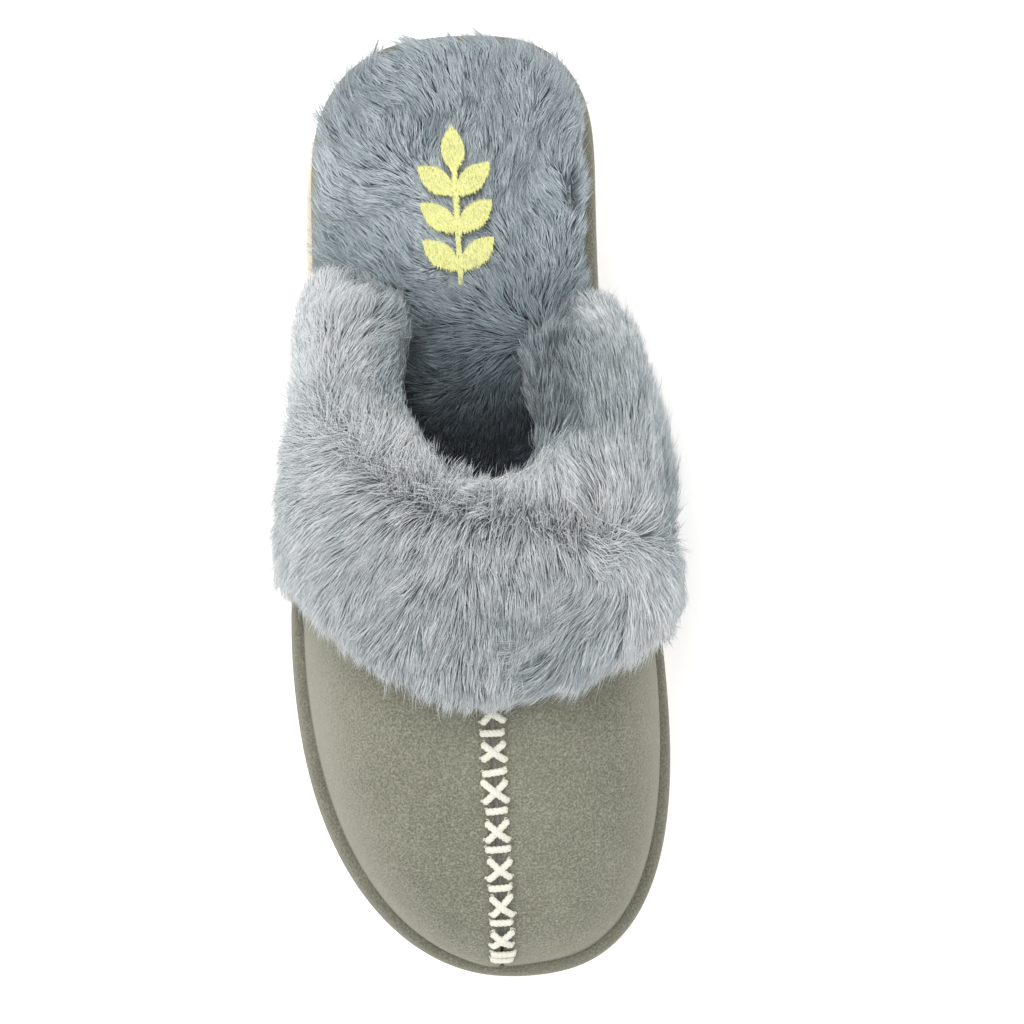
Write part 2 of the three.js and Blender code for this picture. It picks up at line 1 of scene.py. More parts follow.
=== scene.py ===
# %% [markdown]
# # A fluffy house slipper
#
# The slipper is an open-backed mule: a suede-covered platform, a suede vamp with a row of cross stitches,
# and a thick fur cuff turned down over it. Its sizes and the places of its pieces come from the packed
# frame, so every piece here is made where its solid lies. Lengths in this script are in millimetres until
# they reach Blender, which works in metres.

import math

import bmesh
import bpy
import numpy as np
from mathutils import Matrix, Vector, bvhtree, kdtree, noise


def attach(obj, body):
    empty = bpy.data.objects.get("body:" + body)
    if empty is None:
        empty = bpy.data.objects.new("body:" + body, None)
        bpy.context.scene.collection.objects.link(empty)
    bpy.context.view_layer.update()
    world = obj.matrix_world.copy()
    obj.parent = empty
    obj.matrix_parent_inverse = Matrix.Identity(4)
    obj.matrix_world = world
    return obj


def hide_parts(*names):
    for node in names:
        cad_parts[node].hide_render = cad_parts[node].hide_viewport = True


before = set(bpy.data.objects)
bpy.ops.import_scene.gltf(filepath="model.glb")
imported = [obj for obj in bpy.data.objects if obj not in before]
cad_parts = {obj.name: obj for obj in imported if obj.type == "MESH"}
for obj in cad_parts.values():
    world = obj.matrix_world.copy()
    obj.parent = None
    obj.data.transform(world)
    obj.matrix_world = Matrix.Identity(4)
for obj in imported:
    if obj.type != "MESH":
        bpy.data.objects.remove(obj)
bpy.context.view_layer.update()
MM = 0.001

# %% [markdown]
# ## The camera
#
# The slipper is seen from almost straight above, with the toe towards the viewer. A long lens from about a
# metre away keeps the perspective gentle. The camera is aimed with three plain numbers: how far it leans
# to the toe end, how far it leans to the little-toe side, and how far the picture is turned.

# %% Aim the camera
CAMERA_DISTANCE = 1000
CAMERA_LEAN = 3.0  # degrees to the toe end
CAMERA_SIDE = 3.0  # degrees to the little-toe side
CAMERA_ROLL = 3.67
CAMERA_TARGET = (12.0, -3.0, 27)
PICTURE_WIDTH = 284.5  # millimetres across the picture at the target


def aim_camera():
    data = bpy.data.cameras.new("camera")
    camera = bpy.data.objects.new("camera", data)
    bpy.context.scene.collection.objects.link(camera)
    data.sensor_width = 36
    data.lens = data.sensor_width * CAMERA_DISTANCE / PICTURE_WIDTH
    turn = Matrix.Rotation(math.radians(CAMERA_LEAN), 4, "X")
    side = Matrix.Rotation(math.radians(-CAMERA_SIDE), 4, "Y")
    roll = Matrix.Rotation(math.radians(CAMERA_ROLL), 4, "Z")
    back = Matrix.Translation((0, 0, CAMERA_DISTANCE * MM))
    target = Matrix.Translation(Vector(CAMERA_TARGET) * MM)
    camera.matrix_world = target @ side @ turn @ back @ roll.inverted()
    bpy.context.scene.camera = camera
    return camera


camera = aim_camera()
print("camera at", [round(v, 3) for v in camera.matrix_world.translation])

# %% [markdown]
# ## Light and floor
#
# A white room: an even white sky, one large soft lamp overhead, to the heel and the little-toe side, and a
# white floor. The standard view transform keeps white paper white.

# %% Build the studio
SKY_STRENGTH = 0.9
LAMP_POWER = 10.0
LAMP_SIZE = 1.2
LAMP_PLACE = (-0.45, 0.35, 1.3)
FLOOR_SIZE = 3.0
FLOOR_GLOW = 0.28  # keeps the floor as white as paper under the soft light


def build_studio():
    scene = bpy.context.scene
    scene.view_settings.view_transform = "Standard"
    world = bpy.data.worlds.new("white_sky")
    world.use_nodes = True
    background = world.node_tree.nodes["Background"]
    background.inputs["Color"].default_value = (1, 1, 1, 1)
    background.inputs["Strength"].default_value = SKY_STRENGTH
    scene.world = world
    lamp_data = bpy.data.lights.new("soft_lamp", "AREA")
    lamp_data.size = LAMP_SIZE
    lamp_data.energy = LAMP_POWER
    lamp = bpy.data.objects.new("soft_lamp", lamp_data)
    lamp.location = LAMP_PLACE
    lamp.rotation_euler = Vector(LAMP_PLACE).to_track_quat("Z", "Y").to_euler()
    scene.collection.objects.link(lamp)


def build_floor():
    bm = bmesh.new()
    bmesh.ops.create_grid(bm, x_segments=1, y_segments=1, size=FLOOR_SIZE / 2)
    mesh = bpy.data.meshes.new("floor")
    bm.to_mesh(mesh)
    bm.free()
    floor = bpy.data.objects.new("floor", mesh)
    bpy.context.scene.collection.objects.link(floor)
    paper = bpy.data.materials.new("white_paper")
    paper.use_nodes = True
    shader = paper.node_tree.nodes["Principled BSDF"]
    shader.inputs["Base Color"].default_value = (0.93, 0.93, 0.93, 1)
    shader.inputs["Roughness"].default_value = 0.9
    shader.inputs["Emission Color"].default_value = (1, 1, 1, 1)
    shader.inputs["Emission Strength"].default_value = FLOOR_GLOW
    mesh.materials.append(paper)


build_studio()
build_floor()
print("studio ready")

# %% [markdown]
# ## Small helpers
#
# Most pieces start as a copy of their solid, welded into one mesh. A finished piece rides on the slipper's
# only body, takes its material, and hides the solids it stands for.


# %% Start pieces and finish them
def new_piece(name, mesh):
    piece = bpy.data.objects.new(name, mesh)
    bpy.context.scene.collection.objects.link(piece)
    return piece


def welded(node):
    bm = bmesh.new()
    bm.from_mesh(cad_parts[node].data)
    bmesh.ops.remove_doubles(bm, verts=bm.verts, dist=0.01 * MM)
    return bm


def mesh_from(bm, name):
    mesh = bpy.data.meshes.new(name)
    bm.to_mesh(mesh)
    bm.free()
    return mesh


def apply_modifiers(piece):
    graph = bpy.context.evaluated_depsgraph_get()
    mesh = bpy.data.meshes.new_from_object(piece.evaluated_get(graph))
    piece.modifiers.clear()
    piece.data = mesh


def smooth_shaded(piece, crease_angle=180):
    piece.data.shade_smooth()
    if crease_angle < 180:
        piece.data.set_sharp_from_angle(angle=math.radians(crease_angle))


def finish_piece(piece, material, slot, *replaced):
    piece.data.materials.clear()
    piece.data.materials.append(material)
    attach(piece, "root")
    if replaced:
        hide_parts(*replaced)
    print(f"{piece.name}: {len(piece.data.polygons)} faces")


# %% [markdown]
# ## Shader groups
#
# The suede and the band share one effect. *Nap* is the look of brushed suede: a fine speckle of fibre ends
# and larger cloudy patches where the nap was stroked one way or the other. It is a node group with named
# sockets, built once. The small functions before it add one node each.


# %% Make the groups
def new_group(name, inputs, outputs):
    group = bpy.data.node_groups.new(name, "ShaderNodeTree")
    for label, kind, value in inputs:
        socket = group.interface.new_socket(label, in_out="INPUT", socket_type=kind)
        socket.default_value = value
    for label, kind in outputs:
        group.interface.new_socket(label, in_out="OUTPUT", socket_type=kind)
    entry = group.nodes.new("NodeGroupInput")
    leave = group.nodes.new("NodeGroupOutput")
    return group, entry, leave


def noise_node(tree, vector, scale, detail, roughness=0.6):
    node = tree.nodes.new("ShaderNodeTexNoise")
    node.inputs["Scale"].default_value = scale
    node.inputs["Detail"].default_value = detail
    node.inputs["Roughness"].default_value = roughness
    tree.links.new(vector, node.inputs["Vector"])
    return node.outputs["Fac"]


def ranged(tree, value, low, high, to_low=0.0, to_high=1.0):
    node = tree.nodes.new("ShaderNodeMapRange")
    node.inputs["From Min"].default_value = low
    node.inputs["From Max"].default_value = high
    node.inputs["To Min"].default_value = to_low
    node.inputs["To Max"].default_value = to_high
    tree.links.new(value, node.inputs["Value"])
    return node.outputs["Result"]


def math_node(tree, operation, a, b):
    node = tree.nodes.new("ShaderNodeMath")
    node.operation = operation
    for value, socket in ((a, node.inputs[0]), (b, node.inputs[1])):
        if isinstance(value, (int, float)):
            socket.default_value = value
        else:
            tree.links.new(value, socket)
    return node.outputs[0]


def mixed_colour(tree, factor, a, b):
    node = tree.nodes.new("ShaderNodeMix")
    node.data_type = "RGBA"
    tree.links.new(factor, node.inputs["Factor"])
    for value, socket in ((a, node.inputs[6]), (b, node.inputs[7])):
        if isinstance(value, tuple):
            socket.default_value = value
        else:
            tree.links.new(value, socket)
    return node.outputs[2]


def make_nap_group():
    group, entry, leave = new_group(
        "brushed_nap",
        [("Vector", "NodeSocketVector", (0, 0, 0)), ("Fibre Scale", "NodeSocketFloat", 900.0)],
        [("Speckle", "NodeSocketFloat"), ("Patches", "NodeSocketFloat")],
    )
    vector = entry.outputs["Vector"]
    fine = noise_node(group, vector, 900, 2, 0.7)  # its scale comes from the group's socket
    group.links.new(entry.outputs["Fibre Scale"], fine.node.inputs["Scale"])
    group.links.new(ranged(group, fine, 0.36, 0.64), leave.inputs["Speckle"])
    cloud = noise_node(group, vector, 28, 4, 0.65)
    group.links.new(ranged(group, cloud, 0.3, 0.7), leave.inputs["Patches"])
    return group


nap_group = make_nap_group()
print("groups:", [g.name for g in bpy.data.node_groups])


# %% [markdown]
# ## Suede
#
# The upper and the band round the sole are grey-taupe microsuede. Under soft light it shows three things:
# a salt-and-pepper speckle, soft lighter and darker patches, and a paler bloom where the surface turns
# downwards, which is a painted sheen. Along the ridge the two panels of the vamp are butted, which leaves a
# furrow, and at its foot the vamp goes down behind the band into a groove; painted shade darkens the furrow,
# a band beside it and the groove.

# %% Make the suede
SEAM_X = 1
SEAM_UNTIL_Y = -50  # behind this the cuff hides the seam
# the heights over which painted shade deepens into the groove at the vamp's foot
GROOVE_TOP, GROOVE_FOOT = 33.0, 29.8
FIBRES_PER_METRE = 1700


def start_material(name):
    material = bpy.data.materials.new(name)
    material.use_nodes = True
    tree = material.node_tree
    shader = tree.nodes["Principled BSDF"]
    position = tree.nodes.new("ShaderNodeTexCoord").outputs["Object"]
    return material, tree, shader, position


def add_bump(tree, shader, height, distance_mm, strength=1.0):
    bump = tree.nodes.new("ShaderNodeBump")
    bump.inputs["Distance"].default_value = distance_mm * MM
    bump.inputs["Strength"].default_value = strength
    tree.links.new(height, bump.inputs["Height"])
    tree.links.new(bump.outputs["Normal"], shader.inputs["Normal"])


def turned_down(tree, position, level, steep):
    """0 where the surface faces up, 1 where it has turned down to the side."""
    parts = tree.nodes.new("ShaderNodeSeparateXYZ")
    tree.links.new(position.node.outputs["Normal"], parts.inputs["Vector"])
    return ranged(tree, parts.outputs["Z"], level, steep)


def below(tree, position, upper_z, lower_z):
    """0 above upper_z and 1 under lower_z."""
    parts = tree.nodes.new("ShaderNodeSeparateXYZ")
    tree.links.new(position, parts.inputs["Vector"])
    return ranged(tree, parts.outputs["Z"], upper_z * MM, lower_z * MM)


def near_seam(tree, position, half_width):
    """1 on the seam and 0 from half_width beside it, as far back as the cuff."""
    parts = tree.nodes.new("ShaderNodeSeparateXYZ")
    tree.links.new(position, parts.inputs["Vector"])
    off = math_node(tree, "ABSOLUTE", math_node(tree, "SUBTRACT", parts.outputs["X"], SEAM_X * MM), 0)
    beside = ranged(tree, off, half_width * MM, 0.3 * half_width * MM)
    ahead = ranged(tree, parts.outputs["Y"], SEAM_UNTIL_Y * MM, (SEAM_UNTIL_Y - 3) * MM)
    return math_node(tree, "MULTIPLY", beside, ahead)


def suede_material(name, dark, light, painted_sheen, has_seam=False):
    material, tree, shader, position = start_material(name)
    nap = tree.nodes.new("ShaderNodeGroup")
    nap.node_tree = nap_group
    tree.links.new(position, nap.inputs["Vector"])
    nap.inputs["Fibre Scale"].default_value = FIBRES_PER_METRE
    blend = math_node(tree, "MULTIPLY", nap.outputs["Patches"], 0.32)
    blend = math_node(tree, "ADD", blend, math_node(tree, "MULTIPLY", nap.outputs["Speckle"], 0.68))
    colour = mixed_colour(tree, blend, dark, light)
    # painted sheen: the colour turns paler where the surface turns down to the side
    edge = math_node(tree, "MULTIPLY", turned_down(tree, position, 0.8, 0.35), 0.55)
    colour = mixed_colour(tree, edge, colour, painted_sheen)
    if has_seam:
        # painted shade: darker in the groove at the vamp's foot, in the seam's furrow and in the band pressed
        # in beside it
        shade = tuple(0.45 * value for value in dark[:3]) + (1,)
        groove_shade = math_node(tree, "MULTIPLY", below(tree, position, GROOVE_TOP, GROOVE_FOOT), 0.7)
        colour = mixed_colour(tree, groove_shade, colour, shade)
        furrow_shade = math_node(tree, "MULTIPLY", near_seam(tree, position, 0.8), 0.4)
        pressed = math_node(tree, "MULTIPLY", near_seam(tree, position, 4.5), 0.1)
        colour = mixed_colour(tree, pressed, mixed_colour(tree, furrow_shade, colour, shade), shade)
    tree.links.new(colour, shader.inputs["Base Color"])
    shader.inputs["Roughness"].default_value = 0.95
    shader.inputs["Specular IOR Level"].default_value = 0.12
    shader.inputs["Sheen Weight"].default_value = 0.15
    shader.inputs["Sheen Roughness"].default_value = 0.5
    add_bump(tree, shader, nap.outputs["Speckle"], 0.4, 0.9)
    return material


# the third colour of each suede is its painted sheen
vamp_suede = suede_material(
    "vamp_suede", (0.140, 0.143, 0.104, 1), (0.425, 0.425, 0.325, 1), (0.46, 0.45, 0.37, 1), has_seam=True
)
wrap_suede = suede_material(
    "wrap_suede", (0.155, 0.156, 0.115, 1), (0.345, 0.342, 0.262, 1), (0.34, 0.33, 0.26, 1)
)
print("suede ready")

# %% [markdown]
# ## The vamp and the sole band
#
# Their solids are grids of facets. Joining the triangles back into quads and subdividing them gives the
# smooth, slightly rounded surface of cloth that is stretched over a form. Each is a sheet of suede, and its
# flat size is listed beside it.


# %% Make the smooth shells
def smooth_copy(node, name, levels=2):
    bm = welded(node)
    bmesh.ops.join_triangles(
        bm,
        faces=bm.faces,
        angle_face_threshold=math.radians(40),
        angle_shape_threshold=math.radians(60),
    )
    piece = new_piece(name, mesh_from(bm, name))
    rounding = piece.modifiers.new("rounding", "SUBSURF")
    rounding.levels = rounding.render_levels = levels
    apply_modifiers(piece)
    smooth_shaded(piece)
    return piece


def suede_sheet(node, name, material, slot):
    piece = smooth_copy(node, name)
    finish_piece(piece, material, slot, node)
    print("area of both faces:", round(sum(face.area for face in piece.data.polygons), 4))


UNDER_BAND = ["outsole", "midsole_foam"]
UNDER_VAMP = ["vamp_interlining", "sole_band"]
for node, name, material, slot, flat, area, under in (
    ("sole_wrap", "sole_band", wrap_suede, "wrap_suede", (0.026, 0.630), None, UNDER_BAND),
    ("vamp_medial", "vamp_medial_suede", vamp_suede, "vamp_suede", (0.100, 0.180), 0.0110, UNDER_VAMP),
    ("vamp_lateral", "vamp_lateral_suede", vamp_suede, "vamp_suede", (0.100, 0.190), 0.0110, UNDER_VAMP),
):
    suede_sheet(node, name, material, slot)

# %% [markdown]
# ## The outsole
#
# Moulded rubber in cream. It keeps the form of its solid, with smooth walls and crisp tread grooves, so it
# only needs shading by angle and a dry, slightly mottled surface.


# %% Make the outsole
def rubber_material():
    material, tree, shader, position = start_material("cream_rubber")
    mottle = ranged(tree, noise_node(tree, position, 60, 5, 0.7), 0.35, 0.65)
    colour = mixed_colour(tree, mottle, (0.78, 0.70, 0.55, 1), (0.88, 0.81, 0.68, 1))
    tree.links.new(colour, shader.inputs["Base Color"])
    shader.inputs["Roughness"].default_value = 0.55
    add_bump(tree, shader, noise_node(tree, position, 1500, 2), 0.05, 0.5)
    return material


def make_outsole():
    outsole = new_piece("outsole_rubber", mesh_from(welded("outsole"), "outsole_rubber"))
    smooth_shaded(outsole, 32)
    finish_piece(outsole, rubber_material(), "sole_rubber", "outsole")


make_outsole()

# %% [markdown]
# ## The inner layers
#
# The foam, board, cushion, interlining and tape lie inside and hardly show. They keep their solids and get
# plain but honest materials: foam with fine pores, board with a fibrous mottle, tape with a weave.


# %% Dress the inner layers
def inner_material(name, dark, light, scale, roughness):
    material, tree, shader, position = start_material(name)
    pores = ranged(tree, noise_node(tree, position, scale, 3, 0.7), 0.3, 0.7)
    tree.links.new(mixed_colour(tree, pores, dark, light), shader.inputs["Base Color"])
    shader.inputs["Roughness"].default_value = roughness
    add_bump(tree, shader, pores, 0.2, 0.4)
    return material


foam = inner_material("closed_cell_foam", (0.70, 0.68, 0.62, 1), (0.86, 0.84, 0.79, 1), 900, 0.9)
fibre_board = inner_material("fibre_board", (0.42, 0.35, 0.25, 1), (0.60, 0.52, 0.39, 1), 300, 0.85)
knit_backing = inner_material("knit_backing", (0.62, 0.61, 0.58, 1), (0.80, 0.79, 0.76, 1), 1200, 0.9)
woven_tape = inner_material("woven_tape", (0.52, 0.51, 0.48, 1), (0.72, 0.71, 0.67, 1), 1500, 0.85)
for node, material in (
    ("midsole_foam", foam),
    ("cushion_pad", foam),
    ("insole_board", fibre_board),
    ("vamp_interlining", knit_backing),
    ("topline_tape", woven_tape),
):
    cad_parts[node].data.materials.clear()
    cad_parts[node].data.materials.append(material)
print("inner layers dressed")

# %% [markdown]
# ## Fur
#
# Particle hair would be the quick way, but it isn't a mesh and can't be handed on. So each hair here is a
# real, tapering spike with three sides. One spike is modelled with bmesh operators, and numpy stamps it
# over a base surface tens of thousands of times. What makes it read as fur is not the number of hairs but
# how they lie:
#
# - they are *brushed*: every hair leans along a direction that varies slowly over the surface;
# - they *clump*: the tips of neighbours draw together into locks, each lock with a mind of its own;
# - they *shade* from a dark root to a silvery tip.
#
# The shading is read from a map: across it runs the tint of the hair, and up it runs the way from root to
# tip, so the colour stays with the hair whatever happens to the mesh.


# %% Model one hair
def one_hair(stretches, sides=3):
    """The spike's points and faces. Each extrusion but the first leaves its old top inside, out of sight."""
    bm = bmesh.new()
    bmesh.ops.create_circle(bm, cap_ends=True, segments=sides, radius=1)
    bm.faces.ensure_lookup_table()
    top = bm.faces[0]
    for ring in range(stretches):
        made = bmesh.ops.extrude_face_region(bm, geom=[top], use_keep_orig=ring == 0)["geom"]
        top = next(face for face in made if isinstance(face, bmesh.types.BMFace))
        bmesh.ops.translate(bm, verts=top.verts, vec=(0, 0, 1 / stretches))
    tip = list(top.verts)
    bmesh.ops.delete(bm, geom=[top], context="FACES_ONLY")
    bmesh.ops.pointmerge(bm, verts=tip, merge_co=(0, 0, 1))
    bmesh.ops.recalc_face_normals(bm, faces=bm.faces)
    bm.verts.index_update()
    verts = np.array([v.co for v in bm.verts])
    faces = [[v.index for v in f.verts] for f in bm.faces]
    bm.free()
    return verts, faces


LONG_HAIR = one_hair(3)
SHORT_HAIR = one_hair(2)
for label, hair in (("long hair", LONG_HAIR), ("short hair", SHORT_HAIR)):
    print(f"{label}: {len(hair[0])} points, {len(hair[1])} faces")

# %% [markdown]
# ### The ground that the fur grows on
#
# The solids of the cuff and the footbed are remeshed to even, smooth skins, a little smaller than the
# solids. Roots are spread over a skin at random, by area, but not where it presses against another piece.


# %% Grow roots on a skin
def fur_skin(node, name, voxel, shrink, smoothing=6):
    skin = new_piece(name, mesh_from(welded(node), name))
    remesh = skin.modifiers.new("even", "REMESH")
    remesh.mode = "VOXEL"
    remesh.voxel_size = voxel * MM
    relax = skin.modifiers.new("relax", "SMOOTH")
    relax.iterations = smoothing
    relax.factor = 0.5
    sink = skin.modifiers.new("sink", "DISPLACE")
    sink.strength = -shrink * MM
    sink.mid_level = 0
    apply_modifiers(skin)
    smooth_shaded(skin)
    return skin


def surface_arrays(piece):
    mesh = piece.data
    mesh.calc_loop_triangles()
    points = np.empty(len(mesh.vertices) * 3, np.float32)
    mesh.vertices.foreach_get("co", points)
    normals = np.empty(len(mesh.vertices) * 3, np.float32)
    mesh.vertices.foreach_get("normal", normals)
    triangles = np.empty(len(mesh.loop_triangles) * 3, np.int32)
    mesh.loop_triangles.foreach_get("vertices", triangles)
    return points.reshape(-1, 3) / MM, normals.reshape(-1, 3), triangles.reshape(-1, 3)


def unit(v):
    return v / np.maximum(np.linalg.norm(v, axis=-1, keepdims=True), 1e-9)


def scatter(piece, count, rng):
    points, normals, triangles = surface_arrays(piece)
    corner = points[triangles]
    area = np.linalg.norm(np.cross(corner[:, 1] - corner[:, 0], corner[:, 2] - corner[:, 0]), axis=1)
    pick = rng.choice(len(triangles), count, p=area / area.sum())
    r, s = np.sqrt(rng.random(count)), rng.random(count)
    weight = np.stack([1 - r, r * (1 - s), r * s], 1)[:, :, None]
    root = (corner[pick] * weight).sum(1)
    normal = unit((normals[triangles[pick]] * weight).sum(1))
    return root, normal


def solid_tree(names):
    verts, faces = [], []
    for name in names:
        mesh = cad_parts[name].data
        start = len(verts)
        verts.extend(tuple(v.co / MM) for v in mesh.vertices)
        faces.extend([start + i for i in p.vertices] for p in mesh.polygons)
    return bvhtree.BVHTree.FromPolygons(verts, faces)


def in_the_open(root, normal, tree, reach):
    """True for the roots with nothing of the tree within reach in front of them."""
    blocked = [tree.ray_cast(Vector(p), Vector(n), reach)[0] is not None for p, n in zip(root, normal)]
    return ~np.array(blocked)


# %% [markdown]
# ### How the hairs lie
#
# A hair starts out steep and bends over into its brushed direction, following the curve of the surface
# below it. Locks are made by giving every hair a leader: a few hairs lead, and their neighbours bend towards
# their line more and more from root to tip. Small locks are gathered first, and then drawn into larger
# ones.

# %% Lay the hairs and stamp them
HAIR_MAP = "OFBake"


def ramp(value, start, end):
    """0 at start, 1 at end and level beyond them; end may be the smaller."""
    return np.clip((value - start) / (end - start), 0, 1)


def hump(value, place, width):
    """1 at place, falling off smoothly to both sides over about width."""
    return np.exp(-(((value - place) / width) ** 2))


def wavy(points, size, seed):
    """A smooth random value in about -1..1 for each point, changing over a length of size."""
    offset = Vector((seed * 17.3, seed * 5.1, seed * 9.7))
    return np.array([noise.noise(Vector(p) / size + offset) for p in points]) * 1.6


def on_surface(direction, normal):
    return unit(direction - (direction * normal).sum(1, keepdims=True) * normal)


def turned(direction, normal, angle):
    side = np.cross(normal, direction)
    return direction * np.cos(angle)[:, None] + side * np.sin(angle)[:, None]


def spines(root, normal, comb, length, start_lift, end_lift, hug, stretches):
    """Points along each hair, whose lift goes from start_lift to end_lift degrees above the surface."""
    place = [root]
    for k in range(stretches):
        t = (k + 0.5) / stretches
        lift = np.radians(start_lift * (1 - t) + end_lift * t)[:, None]
        step = comb * np.cos(lift) + normal * np.sin(lift)
        sink = hug * (2 * t) * length / stretches
        place.append(place[-1] + step * (length / stretches)[:, None] - normal * sink[:, None])
    return np.stack(place, 1)


def gather_locks(root, spine, per_lock, pull, rng):
    """Bend every hair towards its nearest leader, by its pull. Also returns each hair's leader."""
    count = len(root) // per_lock
    leaders = rng.choice(len(root), count, replace=False)
    tree = kdtree.KDTree(count)
    for i, leader in enumerate(leaders):
        tree.insert(Vector(root[leader]), i)
    tree.balance()
    mine = leaders[np.array([tree.find(Vector(p))[1] for p in root])]
    share = np.linspace(0, 1, spine.shape[1])[None, :, None] ** 1.3
    towards = spine[mine] + (root - root[mine])[:, None] * 0.25
    return spine + (towards - spine) * share * pull[:, None, None], mine


def locks_of_sizes(root, spine, sizes, rng):
    """Gather locks of each size in turn, with a weaker pull each time. Also each hair's leaders."""
    pull = np.clip(0.45 + 0.2 * rng.standard_normal(len(root)), 0.05, 0.9)
    leaders = []
    for per_lock in sizes:
        spine, mine = gather_locks(root, spine, per_lock, pull, rng)
        leaders.append(mine)
        pull = 0.8 * pull
    return spine, leaders


def tints(base, leaders, rng):
    """The hairs' tints: each hair strays from the base, and so does each lock as a whole."""
    count = len(base)
    leader, chief = leaders
    tint = base + 0.2 * rng.standard_normal(count)
    return tint + (0.09 * rng.standard_normal(count)[leader] + 0.08 * rng.standard_normal(count)[chief])


class PileLook:
    """A pile's hair, finish and slot, and for each hair its normal, its points and its width.

    Tint says which column of the colour chart a hair takes, and pale how far up that column its root starts.
    """

    def __init__(self, hair, material, slot, normal, spine, width, tint, pale=None):
        self.hair, self.material, self.slot = hair, material, slot
        self.normal, self.spine, self.width, self.tint = normal, spine, width, tint
        self.pale = np.zeros(len(tint)) if pale is None else pale


def stamp(name, pile, part):
    """One mesh of some of a pile's hairs, with the map that their colour is read from."""
    points, faces = pile.hair
    normal, spine, width = pile.normal[part], pile.spine[part], pile.width[part]
    tint, pale = pile.tint[part], pile.pale[part]
    count, steps = len(spine), spine.shape[1] - 1
    level = np.rint(points[:, 2] * steps).astype(int)
    along = unit(np.gradient(spine, axis=1))
    side = unit(np.cross(along, normal[:, None]))
    up = np.cross(side, along)
    taper = (1 - (level / steps) ** 2.2)[None, :] * width[:, None]
    x = (points[:, 0] * taper)[:, :, None]
    y = (points[:, 1] * taper)[:, :, None]
    verts = spine[:, level] + side[:, level] * x + up[:, level] * y
    loops = np.concatenate([np.array(f) for f in faces])
    sizes = np.array([len(f) for f in faces])
    n = len(points)
    all_loops = (loops[None] + (np.arange(count) * n)[:, None]).ravel()
    mesh = bpy.data.meshes.new(name)
    mesh.vertices.add(count * n)
    mesh.vertices.foreach_set("co", (verts * MM).astype(np.float32).ravel())
    mesh.loops.add(len(all_loops))
    mesh.loops.foreach_set("vertex_index", all_loops.astype(np.int32))
    mesh.polygons.add(count * len(sizes))
    starts = np.concatenate([[0], np.cumsum(np.tile(sizes, count))[:-1]])
    mesh.polygons.foreach_set("loop_start", starts.astype(np.int32))
    mesh.update(calc_edges=True)
    layer = mesh.uv_layers.new(name=HAIR_MAP)
    corner = np.tile(loops, count)
    u = np.repeat(tint, len(loops)) + 0.006 * points[corner, 0]
    root_v = 0.02 + 0.4 * np.repeat(pale, len(loops))
    v = root_v + (0.97 - root_v) * points[corner, 2] + 0.01 * points[corner, 1]
    layer.data.foreach_set("uv", np.stack([np.clip(u, 0, 1), v], 1).astype(np.float32).ravel())
    mesh.validate()
    mesh.shade_smooth()
    return mesh


def show_fur(name, pieces, order, pile):
    """The hairs in their order, cut into pieces of a size that other programs can hold."""
    for i, part in enumerate(np.array_split(order, pieces)):
        label = f"{name}_{i + 1}"
        finish_piece(new_piece(label, stamp(label, pile, part)), pile.material, pile.slot)


print("fur tools ready")

# %% [markdown]
# ### Fur colours
#
# The finish reads the hair's own map: left to right from dark, cool hairs to pale, warm ones, and upwards
# from the shaded root to the bright tip. The chart's left edge is for hairs that no light reaches.

# %% Make the fur finishes
SHADE_SHARE = 0.25  # the left part of the chart, for hairs that lie deep inside


def fur_material(name, root, dark, light, tip_gain):
    material = bpy.data.materials.new(name)
    material.use_nodes = True
    tree = material.node_tree
    shader = tree.nodes["Principled BSDF"]
    chart = tree.nodes.new("ShaderNodeUVMap")
    chart.uv_map = HAIR_MAP
    parts = tree.nodes.new("ShaderNodeSeparateXYZ")
    tree.links.new(chart.outputs["UV"], parts.inputs["Vector"])
    hair = mixed_colour(tree, ranged(tree, parts.outputs["X"], SHADE_SHARE, 0.95), dark, light)
    tip = mixed_colour(tree, ranged(tree, parts.outputs["Y"], 0.45, 1.0, 0.0, tip_gain), hair, (1, 1, 1, 1))
    colour = mixed_colour(tree, ranged(tree, parts.outputs["Y"], 0.0, 0.5), root, tip)
    shade = (0.07 * dark[0], 0.08 * dark[1], 0.12 * dark[2], 1)
    colour = mixed_colour(tree, ranged(tree, parts.outputs["X"], 0.0, SHADE_SHARE), shade, colour)
    tree.links.new(colour, shader.inputs["Base Color"])
    shader.inputs["Roughness"].default_value = 0.6
    shader.inputs["Specular IOR Level"].default_value = 0.35
    shader.inputs["Sheen Weight"].default_value = 0.3
    shader.inputs["Sheen Roughness"].default_value = 0.35
    return material


def skin_material(name, dark, light):
    material, tree, shader, position = start_material(name)
    mottle = ranged(tree, noise_node(tree, position, 400, 4, 0.7), 0.3, 0.7)
    tree.links.new(mixed_colour(tree, mottle, dark, light), shader.inputs["Base Color"])
    shader.inputs["Roughness"].default_value = 1.0
    add_bump(tree, shader, mottle, 0.4)
    return material


cuff_fur = fur_material("cuff_fur", (0.37, 0.42, 0.45, 1), (0.43, 0.52, 0.56, 1), (0.96, 0.99, 1.0, 1), 0.45)
footbed_fur = fur_material(
    "footbed_fur", (0.15, 0.19, 0.22, 1), (0.28, 0.36, 0.40, 1), (0.76, 0.84, 0.88, 1), 0.2
)
# painted shade: the lining's hair is darkened for the shade inside the toe
lining_fur = fur_material(
    "lining_fur", (0.04, 0.045, 0.07, 1), (0.13, 0.15, 0.22, 1), (0.32, 0.36, 0.48, 1), 0.05
)
fur_backing = skin_material("fur_backing", (0.28, 0.32, 0.35, 1), (0.38, 0.43, 0.46, 1))
# painted shade: the lining's backing is darkened for the shade inside the toe
shaded_lining_backing = skin_material("shaded_lining_backing", (0.03, 0.035, 0.045, 1), (0.07, 0.08, 0.10, 1))
print("fur finishes ready")
